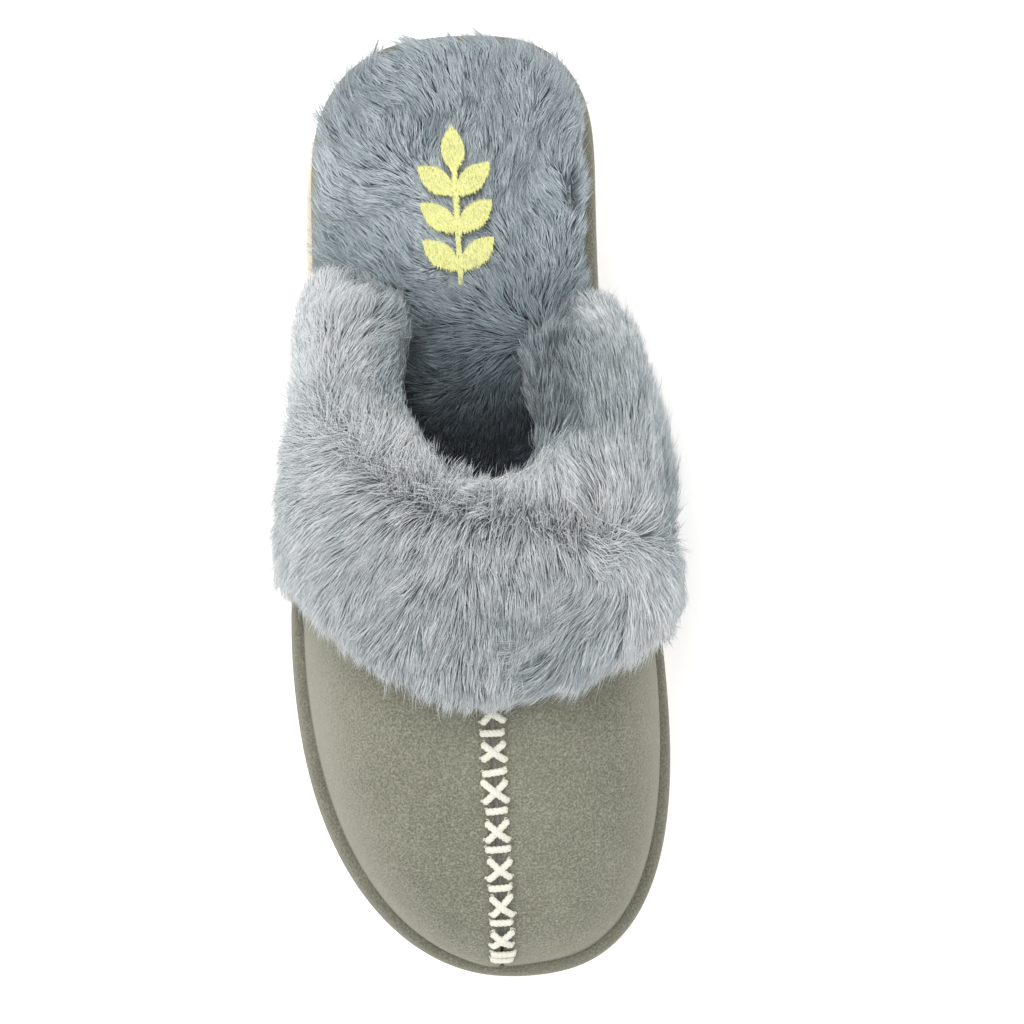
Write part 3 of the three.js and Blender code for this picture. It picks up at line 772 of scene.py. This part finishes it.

# %% [markdown]
# ## The cuff
#
# The pile is brushed away from a parting that runs along the fold: below it the hairs lie down over the
# vamp and the sides, above it they stand up and lean into the opening. Close to the parting they fall to
# either side at random and are painted paler, painted light that keeps the parting from showing as a line
# of shade. On the little-toe side they lie flat, and on the big-toe side they turn round two whorls. The
# faces that look into the opening are in the shade, which is painted into their colour.

# %% Grow the cuff
PARTING = ((-42, 54), (-40, 38), (-36, 21), (-24, 7), (-6, -4), (13, -9), (28, -13), (38, -24), (44, -40))
SIDE_WHORL = ((33, -8), 11)  # its middle and its radius
FRONT_WHORL = ((32, -27), 8)
CUFF_HAIRS = 68000
CUFF_PILE = 12.5  # the hairs' usual length
CUFF_PIECES = 7


def parting_curve():
    knots = np.array(PARTING, float)
    fine = np.linspace(0, len(knots) - 1, 120)
    curve = np.stack([np.interp(fine, np.arange(len(knots)), knots[:, i]) for i in (0, 1)], 1)
    for _ in range(12):
        curve[1:-1] = (curve[:-2] + 2 * curve[1:-1] + curve[2:]) / 4
    along = unit(np.gradient(curve, axis=0))
    return curve, np.stack([-along[:, 1], along[:, 0]], 1)


def beside_parting(points):
    """For each point, its signed distance from the parting, positive towards the heel, and the way across."""
    curve, across = parting_curve()
    gaps = points[:, None, :2] - curve[None]
    nearest = (gaps**2).sum(2).argmin(1)
    gap = gaps[np.arange(len(points)), nearest]
    side = (gap * across[nearest]).sum(1)
    return side, across[nearest], gap


def whorl(points, place, radius):
    return hump(np.linalg.norm(points[:, :2] - np.array(place), axis=1), 0, radius)


def cuff_comb(root, normal, rng):
    side, across, gap = beside_parting(root)
    fallen = np.sign(side + 4.5 * rng.standard_normal(len(root)))[:, None]
    flat = unit(gap * np.sign(side)[:, None] * fallen + 5 * across * fallen)
    comb = np.concatenate([flat, np.zeros((len(root), 1))], 1)
    x, y = root[:, :1], root[:, 1:2]
    flank = ramp(x, 0, -38) * (fallen < 0)
    ahead = ramp(y, 2, -22)
    comb = comb + flank * (1 - ahead) * np.array([[-1.0, 0.2, 0.0]])
    comb = comb + flank * ahead * np.array([[-0.1, -1.6, 0.0]])
    corner = ramp(x, 18, 32) * ramp(y, -12, -24)
    comb = comb + corner * np.array([[-0.3, -3.0, 0.0]])
    comb = comb + ramp(y, 12, 37) * np.array([[0.0, 1.6, 0.0]])
    down = np.where(fallen < 0, 0.5, 0.0) * np.minimum(np.abs(side), 20)[:, None] / 20
    comb = on_surface(unit(comb) - down * np.array([[0.0, 0.0, 1.0]]), normal)
    angle = 0.45 * wavy(root, 16, 1) + 0.3 * wavy(root, 6, 2) + 0.2 * rng.standard_normal(len(root))
    angle += 1.3 * whorl(root, *SIDE_WHORL) - 0.7 * whorl(root, *FRONT_WHORL)
    return turned(comb, normal, angle), side


def grow_cuff():
    rng = np.random.default_rng(11)
    skin = fur_skin("fur_cuff", "cuff_backing", 1.6, 0.8, 8)
    finish_piece(skin, fur_backing, "cuff_fur", "fur_cuff")
    others = solid_tree([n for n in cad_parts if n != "fur_cuff"])
    root, normal = scatter(skin, int(CUFF_HAIRS * 1.6), rng)
    free = in_the_open(root, normal, others, 4.5)
    root, normal = root[free][:CUFF_HAIRS], normal[free][:CUFF_HAIRS]
    count = len(root)
    comb, side = cuff_comb(root, normal, rng)
    x, y, z = root.T
    patch = wavy(root, 22, 4)
    near_parting = hump(side, 0, 8)
    little_toe_side = ramp(x, 0, -45)
    big_toe_corner = ramp(x, 22, 36) * ramp(y, -8, -20)
    tail = ramp(y, 15, 50)
    length = CUFF_PILE + 1.5 * patch - 1.0 * little_toe_side - 1.5 * big_toe_corner - 3.5 * tail
    length += 3.0 * ramp(x, 30, 44) * hump(y, 10, 16)
    length += 5.0 * ramp(x, 18, 28) * ramp(x, 52, 44) * ramp(y, -24, -34)
    length -= 4.0 * ramp(x, 47, 51) * ramp(y, -18, -30)
    over_opening = (side > 0) * ramp(x, 8, -6) * ramp(y, 40, 26)
    length -= 6.5 * over_opening * ramp(side, 2, 10)
    length = length * (0.75 + 0.5 * rng.random(count))
    mood = wavy(root, 5, 7) + 0.4 * rng.standard_normal(count)
    start = np.clip(50 - 4 * near_parting - 14 * little_toe_side - 22 * big_toe_corner + 9 * mood, 10, 88)
    end = np.clip(14 + 8 * near_parting - 8 * little_toe_side - 10 * big_toe_corner + 9 * mood, 1, 80)
    spine = spines(root, normal, comb, length, start, end, 0.10, 3)
    spine, leaders = locks_of_sizes(root, spine, (9, 45), rng)
    spine[:, 1:] += rng.standard_normal((count, 1, 3)) * 0.35
    spine[:, 2:] += rng.standard_normal((count, 1, 3)) * 0.35
    width = 0.122 + 0.062 * rng.random(count)
    tint = tints(0.43 + 0.12 * patch, leaders, rng)
    # painted light: hairs along the crest of the parting, and their roots, are paler where the parting would
    # lie in shade; the little-toe side is paler too, and the tail on that side darker
    painted_crest_light = hump(side, 3, 11)
    tint = tint + 0.20 * little_toe_side + 0.36 * painted_crest_light - 0.13 * tail * (x < 0)
    tint = np.clip(tint + SHADE_SHARE * 0.5, SHADE_SHARE, 0.98)
    pale = np.clip(painted_crest_light + 0.35 * little_toe_side + 0.15 * tail, 0, 1)
    # painted shade on the faces that look into the opening and on the inner face of the big-toe side
    inner_face = np.clip(-1.4 * normal[:, 0] * np.sign(x), 0, 1) * ramp(z, 78, 52)
    front_face = np.clip(1.4 * normal[:, 1], 0, 1) * ramp(z, 74, 60) * (y < 30)
    big_toe_face = ramp(x, 37, 28) * (x > 8) * ramp(y, -1, 10)
    shaded = np.maximum(np.maximum(inner_face, front_face), big_toe_face)
    tint = tint * (1 - 0.75 * shaded)
    pale = pale * (1 - shaded)
    pile = PileLook(LONG_HAIR, cuff_fur, "cuff_fur", normal, spine, width, tint, pale)
    show_fur("cuff_pile", CUFF_PIECES, np.argsort(x + 0.2 * y), pile)


grow_cuff()

# %% [markdown]
# ## The footbed
#
# A shorter pile on a cushioned pad. It is brushed outwards from the middle and swirls, and at the heel and
# on the little-toe side it spills over the edge of the band. Round the print it is pressed nearly flat and
# painted paler, painted light that keeps a ring of shade from showing there. Under the cuff it lies deeper
# and deeper in the shade, which is painted into its colour, and towards the heel it is a little darker.

# %% Grow the footbed
FOOTBED_HAIRS = 46000  # at most; fewer grow where the other pieces leave no room
FOOTBED_PILE = 8.5
FOOTBED_REACH = -45  # no hair grows further under the cuff than this y
FOOTBED_PIECES = 4


def over_the_rim(root, normal):
    """How far a hair belongs to the fringe that spills over the band, from 0 to 1."""
    edge = np.clip(3 * (1 - normal[:, 2]), 0, 1)
    heel_and_little_toe_side = np.clip(0.6 - root[:, 0] / 30 + (root[:, 1] - 80) / 22, 0, 1)
    return edge * heel_and_little_toe_side


def footbed_comb(root, normal, rng):
    x, y = root[:, 0], root[:, 1]
    aside = (x - 10) / 40
    back = ramp(y, 85, 115)
    sideways = np.where(aside > 0, (0.35 + back) * aside, aside)
    out = np.stack([sideways, (y - 55) / 60, np.zeros(len(root))], 1)
    rim = over_the_rim(root, normal)
    out = out + np.array([-0.15, 0.2, 0]) + 2.5 * rim[:, None] * normal * np.array([1, 1, 0])
    angle = 0.9 * wavy(root, 24, 11) + 0.5 * wavy(root, 9, 12) + 0.22 * rng.standard_normal(len(root))
    return turned(on_surface(out, normal), normal, angle * (1 - 0.6 * rim))


def distances(tree, points):
    return np.array([tree.find_nearest(Vector(p))[3] for p in points])


def grow_footbed():
    rng = np.random.default_rng(23)
    skin = fur_skin("footbed_cover", "footbed_backing", 1.6, 2.2, 6)
    finish_piece(skin, fur_backing, "footbed_fur", "footbed_cover")
    others = solid_tree([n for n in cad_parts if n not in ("footbed_cover", "footbed_print")])
    root, normal = scatter(skin, int(FOOTBED_HAIRS * 3), rng)
    wanted = (normal[:, 2] > -0.2) & (root[:, 1] > FOOTBED_REACH)
    root, normal = root[wanted], normal[wanted]
    comb = footbed_comb(root, normal, rng)
    free = in_the_open(root, normal, others, 2.0)
    behind_cuff = root[:, 1] > 45
    free &= behind_cuff | in_the_open(root, unit(normal + 1.2 * comb), others, 9)
    root, normal, comb = (values[free][:FOOTBED_HAIRS] for values in (root, normal, comb))
    count = len(root)
    x, y = root[:, 0], root[:, 1]
    mood = wavy(root, 5, 14) + 0.4 * rng.standard_normal(count)
    rim = over_the_rim(root, normal)
    spill = 4.0 + 1.5 * (x < 0) - 1.5 * ramp(y, 104, 118)
    length = FOOTBED_PILE + 1.2 * wavy(root, 20, 13) + spill * rim
    length = length * (0.75 + 0.5 * rng.random(count))
    print_tree = solid_tree(["footbed_print"])
    from_print = np.minimum(distances(print_tree, root + [0, 0, 2]), distances(print_tree, root + 5 * comb))
    upright = np.clip((from_print - 0.3) / 3.5, 0, 1)
    start = np.clip(52 + 12 * mood, 5, 85) * (0.22 + 0.78 * upright)
    end = np.clip(18 + 12 * mood, 2, 70) * (0.22 + 0.78 * upright)
    spine = spines(root, normal, comb, length * (0.6 + 0.4 * upright), start, end, 0.05, 2)
    spine, leaders = locks_of_sizes(root, spine, (8, 36), rng)
    spine[:, 1:] += rng.standard_normal((count, 1, 3)) * 0.3 * upright[:, None, None]
    width = 0.132 + 0.062 * rng.random(count)
    # painted light: hairs pressed flat round the print are paler, so no ring of shade shows there
    tint = tints(0.45 + 0.12 * wavy(root, 18, 15), leaders, rng) + 0.22 * (1 - upright)
    tint = np.clip(tint + SHADE_SHARE * 0.4, SHADE_SHARE, 0.98)
    # painted shade deepening under the cuff; the pile also darkens towards the heel
    under_cuff = ramp(y, 66, 22)
    tint = tint * (1 - 0.92 * under_cuff**0.62) * (1 - 0.15 * ramp(y, 92, 114))
    pile = PileLook(SHORT_HAIR, footbed_fur, "footbed_fur", normal, spine, width, tint)
    show_fur("footbed_pile", FOOTBED_PIECES, np.argsort(y), pile)


grow_footbed()

# %% [markdown]
# ## The lining
#
# Inside the vamp the lining's pile faces the foot. Only its first stretch shows from outside, so that is
# where it grows. Its hairs and backing are painted nearly black, painted shade for the inside of the toe.

# %% Grow the lining
LINING_HAIRS = 6000
LINING_PILE = 7
LINING_REACH = -75
FOOT_MIDDLE_Z = 45


def grow_lining():
    rng = np.random.default_rng(31)
    skin = smooth_copy("vamp_lining", "lining_backing", 1)
    finish_piece(skin, shaded_lining_backing, "lining_fur", "vamp_lining")
    root, normal = scatter(skin, LINING_HAIRS * 6, rng)
    inwards = np.array([SEAM_X, 0, FOOT_MIDDLE_Z]) - root * [1, 0, 1]
    wanted = ((unit(inwards) * normal).sum(1) > 0.3) & (root[:, 1] > LINING_REACH)
    root, normal = root[wanted][:LINING_HAIRS], normal[wanted][:LINING_HAIRS]
    count = len(root)
    forward = on_surface(np.tile([0.0, -1.0, 0.0], (count, 1)), normal)
    comb = turned(forward, normal, 0.8 * wavy(root, 14, 21))
    length = LINING_PILE * (0.75 + 0.5 * rng.random(count))
    spine = spines(root, normal, comb, length, np.full(count, 50.0), np.full(count, 20.0), 0.0, 2)
    spine, _ = locks_of_sizes(root, spine, (12,), rng)
    width = 0.22 + 0.08 * rng.random(count)
    tint = np.clip(0.5 + 0.22 * rng.standard_normal(count), 0.02, 0.98)
    pile = PileLook(SHORT_HAIR, lining_fur, "lining_fur", normal, spine, width, tint)
    show_fur("lining_pile", 1, np.argsort(root[:, 1]), pile)


grow_lining()

# %% [markdown]
# ## The print
#
# A sprig of leaves, printed pale yellow on the pressed pile. A thin film carries the colour, and short
# flat fibres lie across it and a little over its edge, as printed pile does.

# %% Lay the print
PRINT_FIBRES = 5200
FIBRE_LENGTH = 1.8


def film_material():
    material, tree, shader, position = start_material("print_film")
    worn = ranged(tree, noise_node(tree, position, 500, 3, 0.7), 0.35, 0.7)
    colour = mixed_colour(tree, worn, (0.84, 0.84, 0.30, 1), (0.96, 0.96, 0.40, 1))
    tree.links.new(colour, shader.inputs["Base Color"])
    shader.inputs["Roughness"].default_value = 0.6
    add_bump(tree, shader, noise_node(tree, position, 1500, 2), 0.2, 0.6)
    return material


def lay_print():
    rng = np.random.default_rng(41)
    bm = welded("footbed_print")
    bmesh.ops.triangulate(bm, faces=bm.faces)
    long_edges = [e for e in bm.edges if e.calc_length() > 2 * MM]
    bmesh.ops.subdivide_edges(bm, edges=long_edges, cuts=2)
    for vert in bm.verts:
        vert.co.z += 0.25 * MM * noise.noise(vert.co / (7 * MM))
    film = new_piece("sprig_film", mesh_from(bm, "sprig_film"))
    finish_piece(film, film_material(), "print_film", "footbed_print")
    root, normal = scatter(film, PRINT_FIBRES * 3, rng)
    root = root[normal[:, 2] > 0.8][:PRINT_FIBRES]
    count = len(root)
    up = np.tile([0.0, 0.0, 1.0], (count, 1))
    angle = 0.5 * wavy(root, 9, 42) + 0.25 * rng.standard_normal(count)
    comb = turned(np.tile([-0.3, 1.0, 0.0], (count, 1)), up, angle)
    length = FIBRE_LENGTH * (0.7 + 0.6 * rng.random(count))
    root = root - unit(comb) * length[:, None] * 0.5
    spine = spines(root, up, unit(comb), length, np.full(count, 9.0), np.full(count, 2.0), 0.0, 2)
    width = 0.14 + 0.06 * rng.random(count)
    tint = np.clip(0.6 + 0.2 * rng.standard_normal(count), SHADE_SHARE, 0.98)
    inked = fur_material(
        "inked_fibres", (0.90, 0.90, 0.34, 1), (0.92, 0.92, 0.36, 1), (1.0, 1.0, 0.50, 1), 0.0
    )
    pile = PileLook(SHORT_HAIR, inked, "print_film", up, spine, width, tint)
    show_fur("sprig_fibres", 1, np.arange(count), pile)


lay_print()

# %% [markdown]
# ## The stitches
#
# Each stitch is thick, soft cream yarn of three plies twisted together. A leg of yarn comes up through one
# needle hole, lies over the seam, and goes down through another. The places come from the stitch solids:
# their middle, their flat direction, and which way is out.

# %% Sew the stitches
PLY_RADIUS = 0.57
TWIST_WIDTH, TWIST_HEIGHT = 0.52, 0.3  # how far the plies swing round the yarn's middle
TWIST_PITCH = 3.6
LEG_POINTS = 15
CROSS_LEGS = ((-3.0, -2.8, 3.0, 2.8), (-3.0, 2.8, 3.0, -2.8))  # start and end, across and along the seam
BAR_LEGS = ((-3.1, 0, 3.1, 0),)
SEAT_DEPTH = 0.45  # the legs start this far below the solid's middle


def stitch_place(node):
    points = np.array([v.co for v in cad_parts[node].data.vertices]) / MM
    middle = (points.min(0) + points.max(0)) / 2
    out = np.linalg.svd(points - points.mean(0))[2][2]
    out = out * np.sign(out[2])
    across = unit(np.array([1.0, 0, 0]) - out[0] * out)
    return middle - out * SEAT_DEPTH, across, np.cross(out, across), out


def leg_of_yarn(start, end, out, bump):
    t = np.linspace(0, 1, LEG_POINTS)
    arch = np.sqrt(1 - np.abs(2 * t - 1) ** 5)
    lift = -1.0 + 1.35 * arch + bump * np.exp(-(((t - 0.5) / 0.2) ** 2))
    path = start + (end - start) * t[:, None] + out * lift[:, None]
    side = unit(np.cross(out, end - start))
    turn = 2 * math.pi * t * np.linalg.norm(end - start) / TWIST_PITCH
    plies = []
    for ply in range(3):
        phase = turn + 2 * math.pi * ply / 3
        swing = side * (TWIST_WIDTH * np.cos(phase))[:, None] + out * (TWIST_HEIGHT * np.sin(phase))[:, None]
        plies.append(path + swing)
    return plies


def yarn_piece(name, plies):
    data = bpy.data.curves.new(name, "CURVE")
    data.dimensions = "3D"
    data.bevel_depth = PLY_RADIUS * MM
    data.bevel_resolution = 1
    data.use_fill_caps = True
    for ply in plies:
        spline = data.splines.new("POLY")
        spline.points.add(len(ply) - 1)
        for point, place in zip(spline.points, ply):
            point.co = (*(place * MM), 1)
    piece = new_piece(name, data)
    graph = bpy.context.evaluated_depsgraph_get()
    mesh = bpy.data.meshes.new_from_object(piece.evaluated_get(graph))
    bpy.data.objects.remove(piece)
    piece = new_piece(name, mesh)
    smooth_shaded(piece)
    return piece


def yarn_material():
    material, tree, shader, position = start_material("cream_yarn")
    fibres = ranged(tree, noise_node(tree, position, 2200, 3, 0.7), 0.3, 0.7)
    colour = mixed_colour(tree, fibres, (0.78, 0.76, 0.65, 1), (0.95, 0.93, 0.83, 1))
    tree.links.new(colour, shader.inputs["Base Color"])
    shader.inputs["Roughness"].default_value = 0.85
    add_bump(tree, shader, fibres, 0.12, 0.7)
    return material


def needle_hole(bm, place, across, out):
    """A small dished dimple that dips below the suede. It is an open disc, with no underside."""
    made = bmesh.ops.create_circle(bm, cap_tris=True, cap_ends=True, segments=9, radius=1)["verts"]
    basis = Matrix((across, np.cross(out, across), out)).transposed().to_4x4()
    basis.translation = Vector(place)
    for vert in made:
        rim = Vector(vert.co).length > 0.5
        vert.co = basis @ Vector((vert.co.x * 0.75, vert.co.y * 1.0, 0.10 if rim else -0.5))


def sew():
    rng = np.random.default_rng(51)
    yarn = yarn_material()
    holes = bmesh.new()
    for node in [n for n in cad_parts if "_stitch_" in n]:
        middle, across, along, out = stitch_place(node)
        wobble = rng.standard_normal((4, 2)) * 0.25
        legs = CROSS_LEGS if node.startswith("cross") else BAR_LEGS
        plies = []
        for i, (ax, ay, bx, by) in enumerate(legs):
            start = middle + across * (ax + wobble[i, 0]) + along * (ay + wobble[i, 1])
            end = middle + across * (bx + wobble[2 + i, 0]) + along * (by + wobble[2 + i, 1])
            plies += leg_of_yarn(start, end, out, 0.7 * i)
            for place in (start, end):
                needle_hole(holes, place, across, out)
        finish_piece(yarn_piece("yarn_" + node, plies), yarn, "stitch_yarn", node)
    for vert in holes.verts:
        vert.co *= MM
    dimples = new_piece("needle_dimples", mesh_from(holes, "needle_dimples"))
    smooth_shaded(dimples)
    finish_piece(dimples, wrap_suede, "vamp_suede")


sew()
